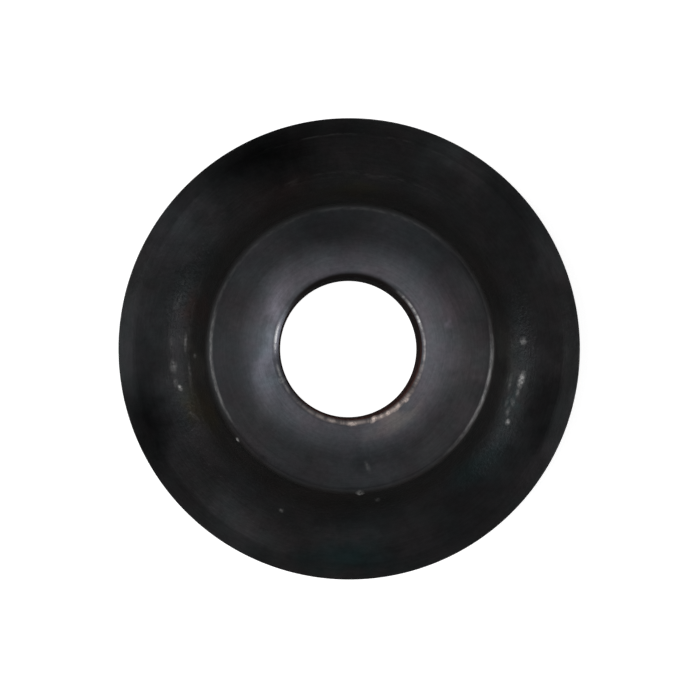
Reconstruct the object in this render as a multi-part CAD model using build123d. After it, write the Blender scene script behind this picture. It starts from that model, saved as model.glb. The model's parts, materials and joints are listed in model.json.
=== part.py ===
from build123d import *

import os
from math import radians, tan

# Cutter wheel for a pipe cutter: a hub with a plain bore and a sharp blade round its middle, turned
# from one piece of steel.
#
# The bore axis is Z. The origin is on that axis, half way along the hub, in the plane of the
# cutting edge. The wheel is the same on both sides of that plane. All lengths are in millimetres.

# Bore: the wheel runs directly on a hardened 3/8 inch pin
pin_diameter = 9.525
pin_running_clearance = 0.125
bore_mouth_chamfer = 0.3

# Hub: a spool that keeps the blade square to the pipe between the jaws of the cutter
hub_diameter = 19.7
hub_width = 18.0
hub_edge_chamfer = 0.35

# Each end of the hub rubs on the cutter with a flat ring next to the bore. Outside that ring the
# face curves away, by this much at the edge of the hub.
thrust_land_width = 1.1
hub_face_relief = 0.2

# Blade: flat flanks that meet the hub in a wide hollow root
cutting_diameter = 32.0
blade_flank_angle = 14.0
blade_root_radius = 4.2

# Cutting bevel, ground on both sides of the rim, and the hair of flat that is left at the edge
cutting_bevel_angle = 30.0
cutting_bevel_width = 1.12
cutting_edge_width = 0.06

# Radii and heights of the corners of the section, from the bore outwards
bore_radius = (pin_diameter + pin_running_clearance) / 2
hub_radius = hub_diameter / 2
rim_radius = cutting_diameter / 2
land_radius = bore_radius + bore_mouth_chamfer + thrust_land_width
bevel_radius = rim_radius - cutting_bevel_width

face_height = hub_width / 2
rim_height = cutting_edge_width / 2
bevel_height = rim_height + cutting_bevel_width * tan(radians(cutting_bevel_angle))
root_height = bevel_height + (bevel_radius - hub_radius) * tan(radians(blade_flank_angle))


def corner_at(corners, place):
    """The corner of the section at this place, given as radius and height."""
    return corners.sort_by_distance(place)[0]


def half_section():
    """The section of the wheel above the plane of the cutting edge, as radius and height."""
    bore_bottom = (bore_radius, 0)
    bore_top = (bore_radius, face_height)
    land_end = (land_radius, face_height)
    hub_top = (hub_radius, face_height - hub_face_relief)
    root = (hub_radius, root_height)
    bevel_start = (bevel_radius, bevel_height)
    rim_top = (rim_radius, rim_height)
    rim_bottom = (rim_radius, 0)

    with BuildSketch() as section:
        with BuildLine():
            Polyline(bore_bottom, bore_top, land_end)
            TangentArc(land_end, hub_top, tangent=(1, 0))
            Polyline(hub_top, root, bevel_start, rim_top, rim_bottom, bore_bottom)
        make_face()
        chamfer(corner_at(section.vertices(), bore_top), length=bore_mouth_chamfer)
        chamfer(corner_at(section.vertices(), hub_top), length=hub_edge_chamfer)
        fillet(corner_at(section.vertices(), root), radius=blade_root_radius)
    return section.sketch


def make_cutter_wheel():
    """The section and its mirror image, turned once round the bore axis."""
    upper = half_section()
    section = upper + mirror(upper, about=Plane.XZ)
    wheel = revolve(Plane.XZ * section, axis=Axis.Z)
    wheel.label = "cutter_wheel"
    return wheel


os.makedirs("parts", exist_ok=True)
cutter_wheel = make_cutter_wheel()
export_step(cutter_wheel, "parts/cutter_wheel.step")
print(f"cutter_wheel: {cutter_wheel.volume:.1f} mm3, valid {cutter_wheel.is_valid}")
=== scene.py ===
import json
import math
from types import SimpleNamespace

import bpy
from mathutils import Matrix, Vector


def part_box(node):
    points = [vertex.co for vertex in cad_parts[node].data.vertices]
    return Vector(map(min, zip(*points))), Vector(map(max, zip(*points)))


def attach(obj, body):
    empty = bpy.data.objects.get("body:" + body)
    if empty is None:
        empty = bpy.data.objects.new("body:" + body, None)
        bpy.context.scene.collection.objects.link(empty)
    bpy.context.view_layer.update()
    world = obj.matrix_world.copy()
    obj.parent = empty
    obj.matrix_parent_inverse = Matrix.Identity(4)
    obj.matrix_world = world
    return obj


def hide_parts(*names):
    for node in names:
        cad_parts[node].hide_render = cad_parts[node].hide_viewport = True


# Cutter wheel, dressed for the studio. Lengths are in millimetres and become metres at MM. Azimuths
# are in degrees, anticlockwise from the right-hand side of the wheel as the photo shows it.
MM = 0.001

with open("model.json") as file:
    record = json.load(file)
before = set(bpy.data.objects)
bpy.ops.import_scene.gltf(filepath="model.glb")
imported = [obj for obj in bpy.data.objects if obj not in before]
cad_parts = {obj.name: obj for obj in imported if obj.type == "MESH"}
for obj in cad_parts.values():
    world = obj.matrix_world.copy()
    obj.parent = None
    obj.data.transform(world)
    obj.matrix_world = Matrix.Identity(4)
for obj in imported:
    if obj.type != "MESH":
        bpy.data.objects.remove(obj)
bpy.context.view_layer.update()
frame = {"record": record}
wheel_low, wheel_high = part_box("cutter_wheel")
mounts = {mount["name"]: mount for mount in frame["record"]["mounts"]}

# Section of the wheel, as in the part
RIM_RADIUS = wheel_high.x / MM
FACE_HEIGHT = wheel_high.z / MM
BORE_RADIUS = mounts["bore"]["dims"]["r_mm"]
MOUTH_CHAMFER = FACE_HEIGHT - mounts["bore"]["dims"]["length_mm"] / 2
LAND_WIDTH = 1.1
FACE_RELIEF = 0.2
HUB_RADIUS = 9.85
HUB_CHAMFER = 0.35
FLANK_ANGLE = math.radians(14.0)
ROOT_RADIUS = 4.2
BEVEL_ANGLE = math.radians(30.0)
BEVEL_WIDTH = 1.12
EDGE_WIDTH = 0.06

LAND_RADIUS = BORE_RADIUS + MOUTH_CHAMFER + LAND_WIDTH
CREST_RADIUS = HUB_RADIUS - HUB_CHAMFER
BEVEL_RADIUS = RIM_RADIUS - BEVEL_WIDTH
CHAMFER_HEIGHT = FACE_HEIGHT - FACE_RELIEF - HUB_CHAMFER
EDGE_HEIGHT = EDGE_WIDTH / 2
BEVEL_HEIGHT = EDGE_HEIGHT + BEVEL_WIDTH * math.tan(BEVEL_ANGLE)
ROOT_HEIGHT = BEVEL_HEIGHT + (BEVEL_RADIUS - HUB_RADIUS) * math.tan(FLANK_ANGLE)

# How far the worn edges are rounded over, and the steps that each is drawn in
BORE_WEAR = (0.06, 3)
MOUTH_WEAR = (0.50, 4)
CREST_WEAR = (0.30, 4)
CHAMFER_WEAR = (0.09, 4)
BEVEL_WEAR = (1.6, 5)
TIP_WEAR = (0.012, 2)

# Steps of the face's relief, of the hollow root, and of the turn round the axis
RELIEF_STEPS = 14
ROOT_STEPS = 22
TURN_STEPS = 720

# Points on the hub's side, this far below its edge, so that a burr on the edge ends there
BURR_DROPS = (0.2, 0.5)

# Nicks in the worn edges: azimuth, radius, reach round the turn and across it, and depth.
# A burr has a depth below 0.
NICKS = (
    (-86, HUB_RADIUS - 0.05, 0.38, 0.32, -0.17),
    (219, HUB_RADIUS - 0.05, 0.22, 0.22, -0.06),
    (232, CREST_RADIUS, 0.40, 0.24, 0.04),
    (52, BEVEL_RADIUS, 0.30, 0.16, 0.03),
    (75, BEVEL_RADIUS, 0.30, 0.16, 0.03),
    (97, BEVEL_RADIUS, 0.40, 0.16, 0.03),
    (113, BEVEL_RADIUS, 0.25, 0.16, 0.03),
)


def relief_arc():
    """Points of the curve by which the hub face falls away from its flat ring, up to the chamfer."""
    width = HUB_RADIUS - LAND_RADIUS
    radius = (width ** 2 + FACE_RELIEF ** 2) / (2 * FACE_RELIEF)
    widest = math.asin(width / radius)
    last = widest - math.asin(HUB_CHAMFER / radius)
    turns = [last * step / RELIEF_STEPS for step in range(RELIEF_STEPS + 1)]
    return [(LAND_RADIUS + radius * math.sin(turn), FACE_HEIGHT - radius * (1 - math.cos(turn)))
            for turn in turns]


def rounded_corner(before, corner, after, radius, steps):
    """The corner of the section rounded to this radius, as points."""
    corner = Vector(corner)
    to_before = (Vector(before) - corner).normalized()
    to_after = (Vector(after) - corner).normalized()
    half = to_before.angle(to_after) / 2
    start = corner + to_before * radius / math.tan(half)
    centre = corner + (to_before + to_after).normalized() * radius / math.sin(half)
    spoke = start - centre
    sweep = math.pi - 2 * half
    side = 1 if to_before.x * to_after.y - to_before.y * to_after.x < 0 else -1
    points = []
    for step in range(steps + 1):
        turn = side * sweep * step / steps
        cos_turn, sin_turn = math.cos(turn), math.sin(turn)
        points.append((centre.x + spoke.x * cos_turn - spoke.y * sin_turn,
                       centre.y + spoke.x * sin_turn + spoke.y * cos_turn))
    return points


def upper_section():
    """The section from the middle of the bore, over the hub and the blade, to the cutting edge."""
    bore_middle = (BORE_RADIUS, 0.0)
    mouth_inner = (BORE_RADIUS, FACE_HEIGHT - MOUTH_CHAMFER)
    mouth_outer = (BORE_RADIUS + MOUTH_CHAMFER, FACE_HEIGHT)
    face = relief_arc()
    hub_inner = face[-1]
    hub_outer = (HUB_RADIUS, CHAMFER_HEIGHT)
    root = (HUB_RADIUS, ROOT_HEIGHT)
    bevel = (BEVEL_RADIUS, BEVEL_HEIGHT)
    edge = (RIM_RADIUS, EDGE_HEIGHT)
    edge_middle = (RIM_RADIUS, 0.0)
    points = [bore_middle, (BORE_RADIUS, FACE_HEIGHT / 2)]
    points += rounded_corner(bore_middle, mouth_inner, mouth_outer, *BORE_WEAR)
    points += rounded_corner(mouth_inner, mouth_outer, face[1], *MOUTH_WEAR)
    points += face[1:-1]
    points += rounded_corner(face[-2], hub_inner, hub_outer, *CREST_WEAR)
    points += rounded_corner(hub_inner, hub_outer, root, *CHAMFER_WEAR)
    points += [(HUB_RADIUS, CHAMFER_HEIGHT - drop) for drop in BURR_DROPS]
    points += rounded_corner(hub_outer, root, bevel, ROOT_RADIUS, ROOT_STEPS)
    points += rounded_corner(root, bevel, edge, *BEVEL_WEAR)
    points += rounded_corner(bevel, edge, edge_middle, *TIP_WEAR)
    return points


def surface_height(radius):
    """The height of the upper side at this radius, or 0 where there is none."""
    section = upper_section()
    for (near, high), (far, low) in zip(section, section[1:]):
        if near <= radius < far:
            return high + (low - high) * (radius - near) / (far - near)
    return 0.0


def nick_places():
    """The middle of each nick, the way outwards from the axis, its reach both ways, and its depth."""
    places = []
    for azimuth, radius, along, across, depth in NICKS:
        turn = math.radians(azimuth)
        outward = Vector((math.cos(turn), math.sin(turn), 0))
        middle = outward * radius + Vector((0, 0, surface_height(radius)))
        places.append((middle, outward, along, across, depth))
    return places


def nicked(place, nicks):
    """This place, pushed in and down where a nick takes it in, or out and up by a burr."""
    for middle, outward, along, across, depth in nicks:
        away = place - middle
        if away.length < along + across:
            beside = away.cross(outward).z / along
            beyond = Vector((away.dot(outward), away.z)).length / across
            share = max(0.0, 1 - beside ** 2 - beyond ** 2)
            place = place - (outward + Vector((0, 0, 1))).normalized() * depth * share ** 2
    return place


def cutter_wheel():
    """The wheel as one closed mesh: the section and its mirror image, turned round the bore axis."""
    nicks = nick_places()
    upper = upper_section()
    lower = [(radius, -height) for radius, height in reversed(upper)]
    section = upper + lower[:-1]
    verts = []
    for step in range(TURN_STEPS):
        turn = 2 * math.pi * step / TURN_STEPS
        for radius, height in section:
            place = Vector((radius * math.cos(turn), radius * math.sin(turn), height))
            verts.append(nicked(place, nicks) * MM)
    size = len(section)
    faces = []
    for step in range(TURN_STEPS):
        here, there = step * size, (step + 1) % TURN_STEPS * size
        for point in range(size):
            after = (point + 1) % size
            faces.append((here + point, there + point, there + after, here + after))
    mesh = bpy.data.meshes.new("wheel")
    mesh.from_pydata(verts, [], faces)
    mesh.shade_smooth()
    wheel = bpy.data.objects.new("wheel", mesh)
    bpy.context.scene.collection.objects.link(wheel)
    return wheel


def dye(change):
    """One factor, or one each for red, green and blue, as a colour to multiply by."""
    red, green, blue = change if isinstance(change, tuple) else (change, change, change)
    return (red, green, blue, 1)


class Tree:
    """Short ways to add the nodes of one material."""

    def __init__(self, name):
        self.material = bpy.data.materials.new(name)
        self.material.use_nodes = True
        self.nodes = self.material.node_tree.nodes
        self.links = self.material.node_tree.links
        self.shader = self.nodes["Principled BSDF"]

    def plug(self, socket, value):
        """Links a node's output to the socket, or sets the socket to a number or colour."""
        if isinstance(value, bpy.types.NodeSocket):
            self.links.new(value, socket)
        else:
            socket.default_value = value

    def plug_all(self, sockets, values):
        """Plugs each value into its socket, in order."""
        for socket, value in zip(sockets, values):
            self.plug(socket, value)

    def set_shader(self, **inputs):
        """Plugs each value into the shader's input of that name, which has spaces for underscores."""
        for name, value in inputs.items():
            self.plug(self.shader.inputs[name.replace("_", " ")], value)

    def math(self, operation, *values):
        """The result of this operation on one or two numbers."""
        node = self.nodes.new("ShaderNodeMath")
        node.operation = operation
        self.plug_all(node.inputs, values)
        return node.outputs[0]

    def ramp(self, value, low, high, start=0.0, end=1.0):
        """Goes smoothly from start to end as value goes from low to high."""
        node = self.nodes.new("ShaderNodeMapRange")
        node.interpolation_type = "SMOOTHSTEP"
        self.plug_all(node.inputs, (value, low, high, start, end))
        return node.outputs[0]

    def band(self, value, middle, reach):
        """One at middle, falling smoothly to nothing at this reach on either side."""
        away = self.math("ABSOLUTE", self.math("SUBTRACT", value, middle))
        return self.ramp(away, 0.0, reach, 1.0, 0.0)

    def vector(self, x, y, z):
        """The vector with these three parts."""
        node = self.nodes.new("ShaderNodeCombineXYZ")
        self.plug_all(node.inputs, (x, y, z))
        return node.outputs[0]

    def vector_math(self, operation, *values):
        """The result of this operation on one or two vectors."""
        node = self.nodes.new("ShaderNodeVectorMath")
        node.operation = operation
        self.plug_all(node.inputs, values)
        return node.outputs["Value" if operation in ("LENGTH", "DOT_PRODUCT") else "Vector"]

    def scaled(self, vector, factor):
        """The vector times this factor."""
        node = self.nodes.new("ShaderNodeVectorMath")
        node.operation = "SCALE"
        self.plug(node.inputs[0], vector)
        self.plug(node.inputs["Scale"], factor)
        return node.outputs[0]

    def noise(self, vector, scale, detail, roughness, output="Fac"):
        """Soft noise from nothing to one."""
        node = self.nodes.new("ShaderNodeTexNoise")
        self.plug(node.inputs["Vector"], vector)
        node.inputs["Scale"].default_value = scale
        node.inputs["Detail"].default_value = detail
        node.inputs["Roughness"].default_value = roughness
        return node.outputs[output]

    def blend(self, share, first, second, way="MIX"):
        """The first colour, with this share of the second over it."""
        node = self.nodes.new("ShaderNodeMix")
        node.data_type = "RGBA"
        node.blend_type = way
        self.plug(node.inputs[0], share)
        self.plug_all(node.inputs[6:8], (first, second))
        return node.outputs[2]

    def dyed(self, colour, change, share=1.0):
        """The colour multiplied by the change, in full or by this share."""
        return self.blend(share, colour, change, "MULTIPLY")

    def shaded(self, colour, value, low, high, start, end):
        """The colour with a dye that goes from start to end as value goes from low to high."""
        return self.dyed(colour, self.blend(self.ramp(value, low, high), dye(start), dye(end)))

    def between(self, share, first, second):
        """The first number, with this share of the second in it."""
        node = self.nodes.new("ShaderNodeMix")
        node.data_type = "FLOAT"
        self.plug(node.inputs[0], share)
        self.plug_all(node.inputs[2:4], (first, second))
        return node.outputs[0]

    def patch(self, place, azimuth, radius, along, across, deep, lean=0.0):
        """One at a place on the upper side, falling softly to nothing at its reach.

        It reaches along the turn and across it, and deep above and below the surface. It can lean, by
        this many degrees anticlockwise, away from the line of the turn.
        """
        turn = math.radians(azimuth)
        middle = (radius * math.cos(turn), radius * math.sin(turn), surface_height(radius))
        node = self.nodes.new("ShaderNodeMapping")
        node.vector_type = "TEXTURE"
        self.plug(node.inputs["Vector"], place)
        node.inputs["Location"].default_value = middle
        node.inputs["Rotation"].default_value = (0, 0, turn + math.radians(lean))
        node.inputs["Scale"].default_value = (across, along, deep)
        return self.ramp(self.vector_math("LENGTH", node.outputs[0]), 0.0, 1.0, 1.0, 0.0)

    def arc(self, direction, azimuth, spread):
        """One at this azimuth, falling softly to nothing at this spread, in degrees, on either side."""
        turn = math.radians(azimuth)
        facing = self.vector_math("DOT_PRODUCT", direction, (math.cos(turn), math.sin(turn), 0))
        return self.ramp(facing, math.cos(math.radians(spread)), 1.0)


# How much light the metal gives back where it faces the light
OXIDE = (0.0098, 0.0099, 0.0103, 1)
# The rubbed face: partly burnished steel, partly a painted highlight that falls off outward from the bore
RUBBED_AND_HIGHLIGHT = (0.0388, 0.0396, 0.0448, 1)
# The root: partly duller oxide, partly painted shade of the hollow between hub and blade
ROOT_BLACK_AND_SHADE = (0.0060, 0.0056, 0.0054, 1)
WALL_BLACK = (0.0085, 0.0075, 0.0075, 1)
WALL_BROWN = (0.0140, 0.0084, 0.0076, 1)
WALL_RUST = (0.0640, 0.0235, 0.0195, 1)
BARE_STEEL = (0.44, 0.435, 0.43, 1)
WARM_STEEL = (0.88, 0.73, 0.66, 1)

# Noise over the surface: scale to the millimetre, detail and roughness
WANDER = (0.35, 3.0, 0.6)
MOTTLE = (0.45, 4.0, 0.6)
CLOUDS = (0.16, 2.0, 0.5)
BLOTCHES = (0.55, 3.0, 0.6)
GRAIN = (9.0, 2.0, 0.5)
PITS = (4.2, 3.0, 0.6)
RAGGED = (5.0, 3.0, 0.6)

# Noise that follows the turn: scale along it, to the radian, and across it, to the millimetre, then
# detail and roughness
GROOVES = (2.0, 9.0, 3.0, 0.6)
CHATTER = (18.0, 4.0, 3.0, 0.6)
BREAKS = (12.0, 3.0, 4.0, 0.7)

# The noise that the stains wander by has three parts, and each lies round this middle
NOISE_MIDDLE = (0.5, 0.5, 0.5)

# Where one finish passes into the next, as distances from an edge: both ends of the change to the
# face, from the bore, and to the bevel, and how far inside the hub's chamfer the change to the root is
FACE_FADE = (-0.10, 0.05)
BORE_FADE = (0.01, 0.05)
BEVEL_FADE = (-0.05, 0.05)
CHAMFER_INSET = 0.02

# Radii between which the rubbing of the face and its painted highlight fall off, and what is left of it
# outside them
RUBBED_HIGHLIGHT_FADE = (5.4, 8.0)
RUBBED_HIGHLIGHT_REST = 0.12

# Radii between which bare steel loses the warm tint that it has near the rust, the dull root, partly
# painted shade, passes into the flank, and the texture of the flank gets shallower
WARM_FADE = (5.5, 6.5)
ROOT_FADE = (10.6, 12.0)
FLANK_FADE = (12.4, 13.4)

# Unevenness of the black: the low and high end of what it follows, and the dye at each end
MOTTLE_DYES = (0.25, 0.75, 0.82, 1.18)
GROOVE_DYES = (0.2, 0.8, 0.90, 1.10)
# The bevel is dimmed, as painted shade over its highlight
BEVEL_SHADE_DYES = (0.0, 1.0, 1.0, 0.88)
PIT_DYES = (0.75, 1.25, 0.92, 1.08)
CLOUD_DYES = (0.35, 0.65, (1.04, 0.99, 0.98), (0.96, 1.01, 1.03))
BLOTCH_DYES = (0.38, 0.62, (1.03, 0.98, 1.00), (0.96, 1.02, 1.01))

# Darker, lighter and tinted places of the black: azimuth, radius, reach round the turn and across it,
# and dye. Some are stains and tints, the others painted highlights and painted shade where light falls
# brighter or dimmer. Their outlines wander by up to half of the first number below, and they go the
# second number into the wheel.
PATCH_WANDER = 4.0
PATCH_DEPTH = 5.0
STAINS_AND_PAINTED_LIGHT = (
    (113, 14.8, 6.8, 4.6, 0.14),
    (91, 14.6, 4.2, 3.6, 0.66),
    (199, 15.2, 5.0, 3.6, 0.18),
    (186, 13.8, 5.0, 2.2, 0.62),
    (145, 15.2, 4.8, 3.0, (2.10, 2.07, 2.13)),
    (146, 12.3, 3.6, 0.9, 1.30),
    (214, 12.1, 3.4, 1.0, 1.36),
    (237, 14.7, 5.0, 3.2, 1.95),
    (270, 13.0, 3.5, 1.8, 1.45),
    (25, 15.5, 5.2, 2.0, 1.80),
    (60, 15.5, 3.4, 2.0, (1.80, 1.77, 1.77)),
    (305, 13.8, 5.0, 3.0, 0.80),
    (339, 14.3, 7.0, 2.9, 0.42),
    (345, 12.1, 2.8, 1.0, 0.74),
    (-6, 15.6, 6.0, 1.6, 0.55),
    (268, 14.7, 5.5, 1.8, (0.66, 1.10, 1.10)),
    (262, 16.0, 5.0, 1.0, 1.24),
    (318, 12.0, 4.5, 1.6, (0.80, 1.05, 1.05)),
    (112, 11.7, 4.5, 2.0, (1.00, 0.80, 0.76)),
    (88, 10.7, 3.0, 1.0, (1.20, 1.15, 0.85)),
    (165, 11.0, 1.8, 1.4, (1.35, 0.97, 0.90)),
    (203, 10.9, 2.6, 1.3, (1.30, 1.20, 0.80)),
    (-3, 10.8, 3.6, 0.8, (1.80, 1.80, 1.70)),
    (184, 10.8, 3.2, 0.8, (1.55, 1.55, 1.45)),
    (-12, 12.2, 4.0, 0.8, 1.22),
    (-18, 11.8, 1.2, 0.6, (0.85, 1.15, 1.15)),
    (270, 11.1, 5.0, 1.4, 0.75),
    (17, 6.96, 0.7, 0.5, (1.60, 1.50, 1.60)),
    (24, 7.6, 3.4, 1.7, (1.28, 1.20, 1.23)),
    (40, 9.7, 5.0, 1.3, 0.72),
    (86, 6.6, 3.4, 1.8, 0.76),
    (103, 8.5, 4.6, 2.9, 0.54),
    (158, 9.1, 4.4, 1.6, 0.70),
    (194, 9.2, 4.6, 1.5, 0.78),
    (172, 5.3, 7.8, 1.35, (1.80, 1.77, 1.82)),
    (262, 6.4, 4.8, 1.8, 0.72),
    (270, 8.0, 4.5, 1.6, 1.24),
    (290, 8.5, 4.0, 1.8, 1.26),
    (318, 8.7, 4.4, 1.8, 1.42),
    (-6, 7.9, 3.5, 1.9, (1.72, 1.68, 1.66)),
    (304, 5.45, 3.2, 0.85, (1.60, 1.42, 1.26)),
)

# The side of the bore that is painted in shade, and the side that is rusty: azimuth and spread in degrees
SHADED_SIDE = (95, 68)
RUSTY_SIDE = (-68, 90)

# On the shaded side the mouth is painted as dark as the wall, as painted shade: its radius and reach
# across it, and the sum of the shares of the mouth and of the side at which this begins, and at which it
# is in full
MOUTH_BAND = (4.92, 0.34)
MOUTH_FADE = (1.0, 1.9)

# The rust follows the blotches: their low and high end, and how much rust there is at each
RUST_SHARES = (0.32, 0.56, 0.25, 1.0)

# Bright places where the black is worn through, and painted glints where highlights fall: azimuth,
# radius, reach round the turn and across it, lean, and how bare. Noise makes them ragged: its low and
# high end, and how much it leaves at each.
RAGGED_SHARES = (0.30, 0.65, 0.15, 1.0)
WORN_AND_GLINT_SPOTS = (
    (185.7, 12.23, 0.66, 0.38, 0, 0.07),
    (193.0, 12.00, 0.32, 0.22, 20, 0.24),
    (191.0, 12.22, 0.50, 0.26, 0, 0.05),
    (177.7, 11.30, 0.90, 0.16, 0, 0.10),
    (182.6, 10.64, 0.24, 0.20, 0, 0.08),
    (187.5, 11.10, 0.90, 0.16, 0, 0.05),
    (203.0, 11.70, 0.80, 0.20, 25, 0.03),
    (2.4, 12.00, 0.40, 0.34, 0, 0.12),
    (-10.2, 12.07, 0.84, 0.32, -6, 0.20),
    (-14.8, 12.00, 0.60, 0.22, 0, 0.05),
    (-18.0, 11.85, 0.50, 0.22, 30, 0.06),
    (-21.5, 11.75, 0.60, 0.22, 0, 0.05),
    (-18.5, 11.45, 0.60, 0.18, 0, 0.04),
    (-24.8, 12.04, 0.30, 0.22, 0, 0.20),
    (-12.0, 11.30, 0.90, 0.20, 0, 0.04),
    (-86.2, 9.84, 0.40, 0.38, 0, 0.24),
    (-79.5, 10.55, 0.26, 0.24, 0, 0.08),
    (-81.6, 8.08, 0.24, 0.66, 16, 0.045),
    (219.0, 9.84, 0.24, 0.22, 0, 0.45),
    (247.2, 12.10, 0.24, 0.20, 0, 0.16),
    (-71.5, 5.02, 0.44, 0.26, 25, 1.00),
    (-65.0, 5.02, 0.32, 0.22, 0, 0.60),
    (-59.5, 5.04, 0.34, 0.24, 15, 0.80),
    (-51.0, 5.05, 0.60, 0.24, 10, 0.70),
    (-43.0, 5.10, 0.40, 0.22, -10, 0.50),
    (-88.5, 5.06, 0.60, 0.24, 0, 0.60),
    (-104.0, 5.02, 0.50, 0.20, 0, 0.40),
    (204.6, 5.08, 0.36, 0.30, 0, 0.35),
)

# Stretches of an edge where the black is worn thin, and painted highlights where the lamps fall: radius,
# reach across it, azimuth, spread in degrees, and how bare. Noise breaks them up: its low and high end on
# the blade, and on the face, where it leaves some at its low end.
BLADE_BREAKS = (0.46, 0.66)
FACE_BREAKS = (0.36, 0.60, 0.25, 1.0)
WORN_AND_GLINT_ARCS = (
    (CREST_RADIUS - 0.06, 0.17, 188, 30, 0.12),
    (CREST_RADIUS, 0.16, 155, 44, 0.04),
    (CREST_RADIUS + 0.11, 0.20, -18, 34, 0.14),
    (CREST_RADIUS, 0.16, 75, 40, 0.05),
    (CREST_RADIUS, 0.16, 126, 26, 0.04),
    (HUB_RADIUS - HUB_CHAMFER / 2, 0.26, 0, 180, 0.010),
    (HUB_RADIUS - HUB_CHAMFER / 2, 0.26, 180, 180, 0.007),
    (12.10, 0.34, 88, 44, 0.022),
    (12.30, 0.34, 172, 30, 0.020),
    (11.15, 0.24, 180, 40, 0.020),
    (11.15, 0.24, -12, 34, 0.020),
    (BEVEL_RADIUS, 0.14, 88, 32, 0.022),
    (5.01, 0.14, 31, 22, 0.80),
    (5.04, 0.14, 0, 22, 0.14),
    (5.03, 0.24, -56, 30, 0.34),
    (5.02, 0.22, -98, 32, 0.26),
    (5.00, 0.22, -28, 20, 0.16),
    (5.10, 0.16, 171, 14, 0.38),
    (5.06, 0.16, 205, 16, 0.30),
    (5.04, 0.18, 236, 22, 0.16),
)

# The cutting edge itself: how wide it is worn thin all the way round, and how bare
TIP_WORN_WIDTH = 0.10
TIP_BARE = 0.10

# Roughness of the black, from the mottle, and what the face, bare metal and the bore add to it
BLACK_ROUGHNESS = (0.2, 0.8, 0.32, 0.40)
FACE_ROUGHNESS = 0.06
BARE_ROUGHNESS = -0.15
BORE_ROUGHNESS = 0.40

# Texture: how deep the grooves, grain, pits and chatter are, in parts of TEXTURE_DEPTH
TEXTURE_DEPTH = 0.02
GROOVE_DEPTH = 0.2
GRAIN_DEPTH = 0.15
PIT_DEPTH = 2.0
CHATTER_DEPTH = 1.8

# How much of the pits and chatter there is inside and outside FLANK_FADE, and how much of it the face
# keeps
FLANK_SHARES = (0.75, 0.30)
FACE_SHARE = 0.12

# How much less metallic the dull root and the bore are than the rest; they go dark for it, partly a
# dull finish, partly painted shade of the hollow and the hole
DULLNESS_AND_SHADE = 0.7

# Gloss drawn out round the turn: how much, and its turn away from the tangent as a share of a circle
TURNED_GLOSS = 0.6
GLOSS_TURN = 0.25


def turned_noise(tree, at, along, across, detail, roughness):
    """Noise that follows the turn: along it from the direction, across it from radius and height."""
    drawn_out = tree.vector(tree.math("MULTIPLY", tree.math("DIVIDE", at.x, at.radius), along),
                            tree.math("MULTIPLY", tree.math("DIVIDE", at.y, at.radius), along),
                            tree.math("MULTIPLY", tree.math("SUBTRACT", at.radius, at.z), across))
    return tree.noise(drawn_out, 1.0, detail, roughness)


def surface_values(tree):
    """What the finish goes by at a point: where it is, the noise there, and its part of the wheel."""
    at = SimpleNamespace()
    at.place = tree.scaled(tree.nodes.new("ShaderNodeTexCoord").outputs["Object"], 1 / MM)
    parts = tree.nodes.new("ShaderNodeSeparateXYZ")
    tree.plug(parts.inputs[0], at.place)
    at.x, at.y, at.z = parts.outputs
    squares = [tree.math("MULTIPLY", part, part) for part in (at.x, at.y)]
    at.radius = tree.math("SQRT", tree.math("ADD", *squares))
    height = tree.math("ABSOLUTE", at.z)

    at.direction = tree.vector_math("NORMALIZE", tree.vector(at.x, at.y, 0.0))
    wander = tree.vector_math("SUBTRACT", tree.noise(at.place, *WANDER, "Color"), NOISE_MIDDLE)
    at.warped = tree.vector_math("ADD", at.place, tree.scaled(wander, PATCH_WANDER))
    at.mottle = tree.noise(at.place, *MOTTLE)
    at.clouds = tree.noise(at.place, *CLOUDS)
    at.blotches = tree.noise(at.place, *BLOTCHES)
    at.grooves = turned_noise(tree, at, *GROOVES)
    at.grain = tree.noise(at.place, *GRAIN)
    at.pits = tree.noise(at.place, *PITS)
    at.chatter = turned_noise(tree, at, *CHATTER)

    at.on_face = tree.ramp(height, *[CHAMFER_HEIGHT + fade for fade in FACE_FADE])
    # The rubbed face near the bore is partly a painted highlight
    at.rubbed = tree.math("MULTIPLY", at.on_face, tree.ramp(at.radius, *RUBBED_HIGHLIGHT_FADE, 1.0, RUBBED_HIGHLIGHT_REST))
    off_hub = [edge - CHAMFER_INSET for edge in (CREST_RADIUS, HUB_RADIUS)]
    # The root, darkened partly as painted shade of the hollow
    at.in_root = tree.math("MULTIPLY", tree.ramp(at.radius, *ROOT_FADE, 1.0, 0.0),
                           tree.ramp(at.radius, *off_hub))
    at.on_bevel = tree.ramp(at.radius, *[BEVEL_RADIUS + fade for fade in BEVEL_FADE])
    # The side of the bore and its mouth that is painted dark, as painted shade
    at.dull_side = tree.arc(at.direction, *SHADED_SIDE)
    at.rusty_side = tree.arc(at.direction, *RUSTY_SIDE)
    in_mouth = tree.ramp(tree.math("ADD", tree.band(at.radius, *MOUTH_BAND), at.dull_side), *MOUTH_FADE)
    on_wall = tree.ramp(at.radius, *[BORE_RADIUS + fade for fade in BORE_FADE], 1.0, 0.0)
    at.in_bore = tree.math("MAXIMUM", on_wall, in_mouth)
    return at


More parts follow.
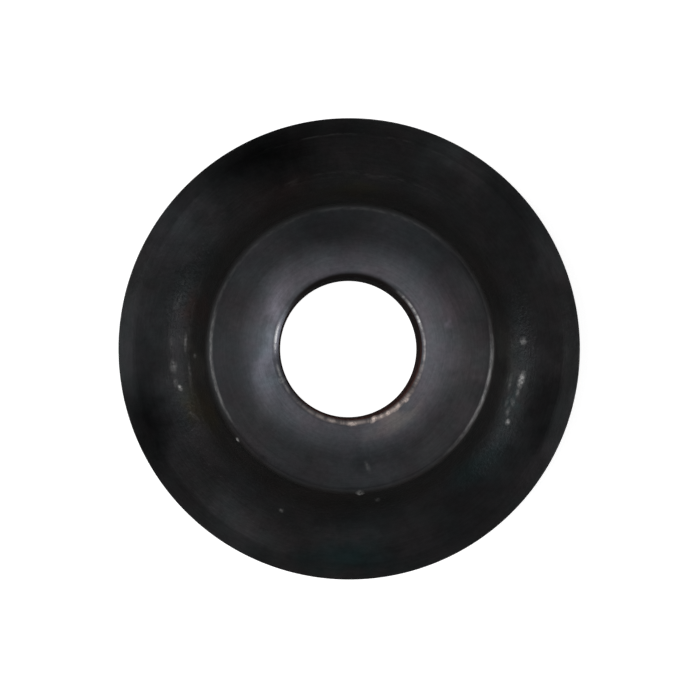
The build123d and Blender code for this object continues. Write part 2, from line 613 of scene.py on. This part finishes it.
def oxide_colour(tree, at):
    """The colour of the oxide, with its broad and fine unevenness, its stains, and painted highlights and
    shade.
    """
    # The rubbed face near the bore is partly a painted highlight
    colour = tree.blend(at.rubbed, OXIDE, RUBBED_AND_HIGHLIGHT)
    # The dark root is partly painted shade of the hollow
    colour = tree.blend(at.in_root, colour, ROOT_BLACK_AND_SHADE)
    colour = tree.shaded(colour, at.mottle, *MOTTLE_DYES)
    colour = tree.shaded(colour, at.grooves, *GROOVE_DYES)
    # The bevel dimmed, as painted shade
    colour = tree.shaded(colour, at.on_bevel, *BEVEL_SHADE_DYES)
    colour = tree.shaded(colour, tree.math("ADD", at.pits, at.chatter), *PIT_DYES)
    colour = tree.shaded(colour, at.clouds, *CLOUD_DYES)
    colour = tree.shaded(colour, at.blotches, *BLOTCH_DYES)
    # Stains and tints, with painted highlights and painted shade among them
    for *patch, change in STAINS_AND_PAINTED_LIGHT:
        colour = tree.dyed(colour, dye(change), tree.patch(at.warped, *patch, PATCH_DEPTH))
    return colour


def bore_colour(tree, at):
    """The colour of the bore's wall: brown, black on the side painted in shade, and rusty on the other.
    """
    rust = tree.math("MULTIPLY", at.rusty_side, tree.ramp(at.blotches, *RUST_SHARES))
    # Black on the side painted in shade
    return tree.blend(rust, tree.blend(at.dull_side, WALL_BROWN, WALL_BLACK), WALL_RUST)


def bare_and_glint_share(tree, at):
    """How far the black is worn through, on edges and in spots, with painted glints and highlights among
    them.
    """
    breaks = turned_noise(tree, at, *BREAKS)
    unbroken = tree.between(at.on_face, tree.ramp(breaks, *BLADE_BREAKS), tree.ramp(breaks, *FACE_BREAKS))
    ragged = tree.ramp(tree.noise(at.place, *RAGGED), *RAGGED_SHARES)
    bare_and_glint = tree.math("MULTIPLY", tree.ramp(at.radius, RIM_RADIUS - TIP_WORN_WIDTH, RIM_RADIUS), TIP_BARE)
    # Worn stretches, and painted highlights where the lamps fall
    for radius, across, azimuth, spread, strength in WORN_AND_GLINT_ARCS:
        stretch = tree.math("MULTIPLY", tree.band(at.radius, radius, across),
                            tree.arc(at.direction, azimuth, spread))
        bare_and_glint = tree.math("MAXIMUM", bare_and_glint, tree.math("MULTIPLY", stretch, strength))
    bare_and_glint = tree.math("MULTIPLY", bare_and_glint, unbroken)
    # Worn spots, and painted glints where highlights fall
    for azimuth, radius, along, across, lean, strength in WORN_AND_GLINT_SPOTS:
        spot = tree.patch(at.place, azimuth, radius, along, across, along + across, lean)
        spot = tree.math("MULTIPLY", spot, ragged)
        bare_and_glint = tree.math("MAXIMUM", bare_and_glint, tree.math("MULTIPLY", spot, strength))
    return bare_and_glint


def surface_texture(tree, at):
    """The turned, pitted surface, as a change of its normal."""
    fine = tree.math("ADD", tree.math("MULTIPLY", at.grooves, GROOVE_DEPTH),
                     tree.math("MULTIPLY", at.grain, GRAIN_DEPTH))
    rough = tree.math("ADD", tree.math("MULTIPLY", at.pits, PIT_DEPTH),
                      tree.math("MULTIPLY", at.chatter, CHATTER_DEPTH))
    rough = tree.math("MULTIPLY", rough, tree.ramp(at.radius, *FLANK_FADE, *FLANK_SHARES))
    rough = tree.math("MULTIPLY", rough, tree.ramp(at.on_face, 0.0, 1.0, 1.0, FACE_SHARE))
    bump = tree.nodes.new("ShaderNodeBump")
    bump.inputs["Strength"].default_value = 1.0
    bump.inputs["Distance"].default_value = TEXTURE_DEPTH * MM
    tree.plug(bump.inputs["Height"], tree.math("ADD", fine, rough))
    return bump.outputs[0]


def blackened_steel():
    """Turned steel with a satin black oxide finish: rubbed bright next to the bore, partly a painted
    highlight, and dull in the root, partly painted shade.
    """
    tree = Tree("blackened_steel")
    at = surface_values(tree)
    colour = tree.blend(at.in_bore, oxide_colour(tree, at), bore_colour(tree, at))
    # Worn steel, with painted glints and highlights among it
    bare_and_glint = bare_and_glint_share(tree, at)
    warm = tree.math("MULTIPLY", at.rusty_side, tree.ramp(at.radius, *WARM_FADE, 1.0, 0.0))
    colour = tree.blend(bare_and_glint, colour, tree.blend(warm, BARE_STEEL, WARM_STEEL))

    roughness = tree.ramp(at.mottle, *BLACK_ROUGHNESS)
    changes = ((at.on_face, FACE_ROUGHNESS), (bare_and_glint, BARE_ROUGHNESS), (at.in_bore, BORE_ROUGHNESS))
    for share, change in changes:
        roughness = tree.math("ADD", roughness, tree.math("MULTIPLY", share, change))

    normal = surface_texture(tree, at)
    # Less metal in the root and the bore: partly dullness, partly painted shade
    dull = tree.math("MULTIPLY", tree.math("MAXIMUM", at.in_root, at.in_bore), DULLNESS_AND_SHADE)
    metal = tree.math("MAXIMUM", tree.math("SUBTRACT", 1.0, dull), bare_and_glint)
    tangent = tree.nodes.new("ShaderNodeTangent")
    tangent.direction_type = "RADIAL"
    tangent.axis = "Z"
    tree.set_shader(Base_Color=colour, Metallic=metal, Roughness=roughness, Specular_IOR_Level=0.0,
                    Normal=normal, Tangent=tangent.outputs[0], Anisotropic=TURNED_GLOSS,
                    Anisotropic_Rotation=GLOSS_TURN)
    return tree.material


# Studio: the floor's side, its colour, how much it glows, and how much the world lights things
FLOOR_SIDE = 4000.0
FLOOR_COLOUR = (0.8, 0.8, 0.8, 1)
FLOOR_GLOW = 0.55
WORLD_LEVEL = 0.5
WHITE = (1, 1, 1, 1)

# Soft oval lamps: azimuth, degrees from straight above the wheel, distance, width and height, and the
# level at which a white card that faced this lamp, with no other light, would show
LAMPS = {
    "top": (184, 10, 550, 120, 120, 0.20),
    "right": (-14, 60, 400, 280, 100, 0.36),
    "left": (180, 60, 400, 300, 100, 0.34),
    "low_right": (-12, 84, 400, 240, 60, 0.16),
    "low_left": (184, 84, 400, 240, 60, 0.13),
}

# Camera: where it stands, from the middle of the wheel, its sensor, and from where to where it sees
CAMERA_PLACE = (-3.0, -0.8, 370.0)
SENSOR_WIDTH = 36.0
NEAREST = 10.0
FARTHEST = 10000.0

# Photo: its width, pixels to the millimetre, and the middle of the wheel in it, from its left and top
PHOTO_WIDTH = 700.0
PHOTO_SCALE = 14.425
WHEEL_PIXEL = (349.2, 348.85)


def seen_share(nodes, links):
    """One for rays from the camera, reflections and clear glass, nothing for the light on things."""
    path = nodes.new("ShaderNodeLightPath")
    share = path.outputs["Is Camera Ray"]
    for ray in ("Is Glossy Ray", "Is Transmission Ray"):
        both = nodes.new("ShaderNodeMath")
        both.operation = "MAXIMUM"
        links.new(share, both.inputs[0])
        links.new(path.outputs[ray], both.inputs[1])
        share = both.outputs[0]
    return share


def pale_floor():
    """A pale floor under the wheel, white to the camera and in reflections apart from the shadow, which
    painted light lifts under the bore.
    """
    half = FLOOR_SIDE * MM / 2
    corners = [(-half, -half, 0), (half, -half, 0), (half, half, 0), (-half, half, 0)]
    mesh = bpy.data.meshes.new("floor")
    mesh.from_pydata(corners, [], [(0, 1, 2, 3)])
    floor = bpy.data.objects.new("floor", mesh)
    floor.location.z = wheel_low.z
    bpy.context.scene.collection.objects.link(floor)
    tree = Tree("floor")
    away = tree.vector_math("LENGTH", tree.nodes.new("ShaderNodeTexCoord").outputs["Object"])
    # Under the bore the floor glows in full, painted light that lifts the wheel's shade there
    glow = tree.ramp(away, BORE_RADIUS * MM, HUB_RADIUS * MM, 1.0, FLOOR_GLOW)
    glow = tree.math("MULTIPLY", seen_share(tree.nodes, tree.links), glow)
    tree.set_shader(Emission_Strength=glow, Emission_Color=WHITE, Base_Color=FLOOR_COLOUR,
                    Roughness=1.0, Specular_IOR_Level=0.0)
    mesh.materials.append(tree.material)


def pale_world():
    """White to the camera and in reflections, and softer in the light that it gives."""
    world = bpy.data.worlds.new("world")
    world.use_nodes = True
    nodes, links = world.node_tree.nodes, world.node_tree.links
    strength = nodes.new("ShaderNodeMapRange")
    links.new(seen_share(nodes, links), strength.inputs["Value"])
    strength.inputs["To Min"].default_value = WORLD_LEVEL
    strength.inputs["To Max"].default_value = 1.0
    nodes["Background"].inputs["Color"].default_value = WHITE
    links.new(strength.outputs[0], nodes["Background"].inputs["Strength"])
    bpy.context.scene.world = world


def lamp(name, azimuth, off_axis, distance, wide, high, level):
    """One lamp of the studio, which points at the wheel."""
    light = bpy.data.lights.new(name, "AREA")
    light.shape = "ELLIPSE"
    light.size, light.size_y = wide * MM, high * MM
    light.energy = level * (math.pi * distance * MM) ** 2
    stand = bpy.data.objects.new(name, light)
    turn, lean = math.radians(azimuth), math.radians(off_axis)
    towards = Vector((math.cos(turn) * math.sin(lean), math.sin(turn) * math.sin(lean), math.cos(lean)))
    stand.location = towards * distance * MM
    stand.rotation_mode = "QUATERNION"
    stand.rotation_quaternion = towards.to_track_quat("Z", "Y")
    bpy.context.scene.collection.objects.link(stand)


def camera():
    """Looks straight down on the wheel, from beside its axis, with the wheel where the photo has it."""
    place = Vector(CAMERA_PLACE)
    view_width = PHOTO_WIDTH / PHOTO_SCALE
    left, top = WHEEL_PIXEL
    photo_middle = Vector((PHOTO_WIDTH / 2 - left, top - PHOTO_WIDTH / 2)) / PHOTO_SCALE
    data = bpy.data.cameras.new("camera")
    data.sensor_width = SENSOR_WIDTH
    data.lens = SENSOR_WIDTH * place.z / view_width
    data.shift_x, data.shift_y = (photo_middle - place.xy) / view_width
    data.clip_start, data.clip_end = NEAREST * MM, FARTHEST * MM
    stand = bpy.data.objects.new("camera", data)
    stand.location = place * MM
    bpy.context.scene.collection.objects.link(stand)
    bpy.context.scene.camera = stand


wheel = cutter_wheel()
wheel.data.materials.append(blackened_steel())
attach(wheel, "root")
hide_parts("cutter_wheel")

pale_floor()
pale_world()
for name, settings in LAMPS.items():
    lamp(name, *settings)
camera()
bpy.context.scene.view_settings.view_transform = "Standard"
